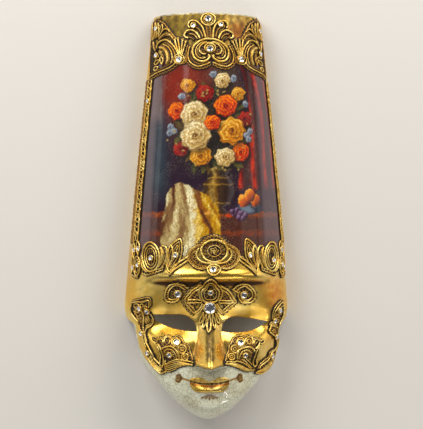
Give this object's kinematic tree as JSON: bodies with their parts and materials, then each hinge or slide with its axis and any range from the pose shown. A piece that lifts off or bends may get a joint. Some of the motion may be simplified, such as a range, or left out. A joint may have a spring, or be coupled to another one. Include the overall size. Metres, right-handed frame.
{
  "type": "pulcinella mask",
  "caption": "Tall carnival mask lying face up: a curved papier-mache shell with eye openings, nose and mouth, its hat trimmed with gilded lace and crystals round a picture.",
  "frame": {"origin": "middle of the outline, in the plane that the mask's back edges lie on", "axes": "+X to the viewer's right, +Y to the top of the hat, +Z out of the face"},
  "size_m": [0.1662, 0.405, 0.0907],
  "materials": {
    "gilded_papier_mache": "papier-mache under aged gold leaf, with ivory crackle varnish below the cheeks",
    "varnished_print": "printed paper under glossy crackle varnish",
    "gilded_lace": "stiffened cord lace, gilded, with brown wax in the hollows",
    "foiled_crystal": "faceted glass with a silvered flat back"
  },
  "bodies": {
    "root": {"brow_lace": "gilded_lace", "cheek_lace_left": "gilded_lace", "cheek_lace_right": "gilded_lace", "crown_lace": "gilded_lace", "crystal_braid_left": "foiled_crystal", "crystal_braid_right": "foiled_crystal", "crystal_brow_centre": "foiled_crystal", "crystal_brow_left": "foiled_crystal", "crystal_brow_quatrefoil": "foiled_crystal", "crystal_brow_right": "foiled_crystal", "crystal_cheek_left_lower": "foiled_crystal", "crystal_cheek_left_upper": "foiled_crystal", "crystal_cheek_right_lower": "foiled_crystal", "crystal_cheek_right_upper": "foiled_crystal", "crystal_crown_centre": "foiled_crystal", "crystal_crown_left_back_lower": "foiled_crystal", "crystal_crown_left_back_upper": "foiled_crystal", "crystal_crown_left_leaf": "foiled_crystal", "crystal_crown_left_oval": "foiled_crystal", "crystal_crown_left_side_lower": "foiled_crystal", "crystal_crown_left_side_upper": "foiled_crystal", "crystal_crown_right_back_lower": "foiled_crystal", "crystal_crown_right_leaf": "foiled_crystal", "crystal_crown_right_oval": "foiled_crystal", "crystal_crown_right_side_lower": "foiled_crystal", "crystal_crown_right_side_upper": "foiled_crystal", "crystal_temple_left_inner": "foiled_crystal", "crystal_temple_left_lower": "foiled_crystal", "crystal_temple_left_middle": "foiled_crystal", "crystal_temple_left_upper": "foiled_crystal", "crystal_temple_right_lower": "foiled_crystal", "crystal_temple_right_middle": "foiled_crystal", "crystal_temple_right_top": "foiled_crystal", "crystal_temple_right_upper": "foiled_crystal", "crystal_top_centre": "foiled_crystal", "crystal_top_crest": "foiled_crystal", "crystal_top_left_fan": "foiled_crystal", "crystal_top_left_lower": "foiled_crystal", "crystal_top_left_petal": "foiled_crystal", "crystal_top_left_upper": "foiled_crystal", "crystal_top_right_fan": "foiled_crystal", "crystal_top_right_lower": "foiled_crystal", "crystal_top_right_petal": "foiled_crystal", "crystal_top_right_upper": "foiled_crystal", "mask_shell": "gilded_papier_mache", "picture_panel": "varnished_print", "side_braid_left": "gilded_lace", "side_braid_right": "gilded_lace", "temple_lace_left": "gilded_lace", "temple_lace_right": "gilded_lace", "top_lace": "gilded_lace"}
  },
  "joints": []
}
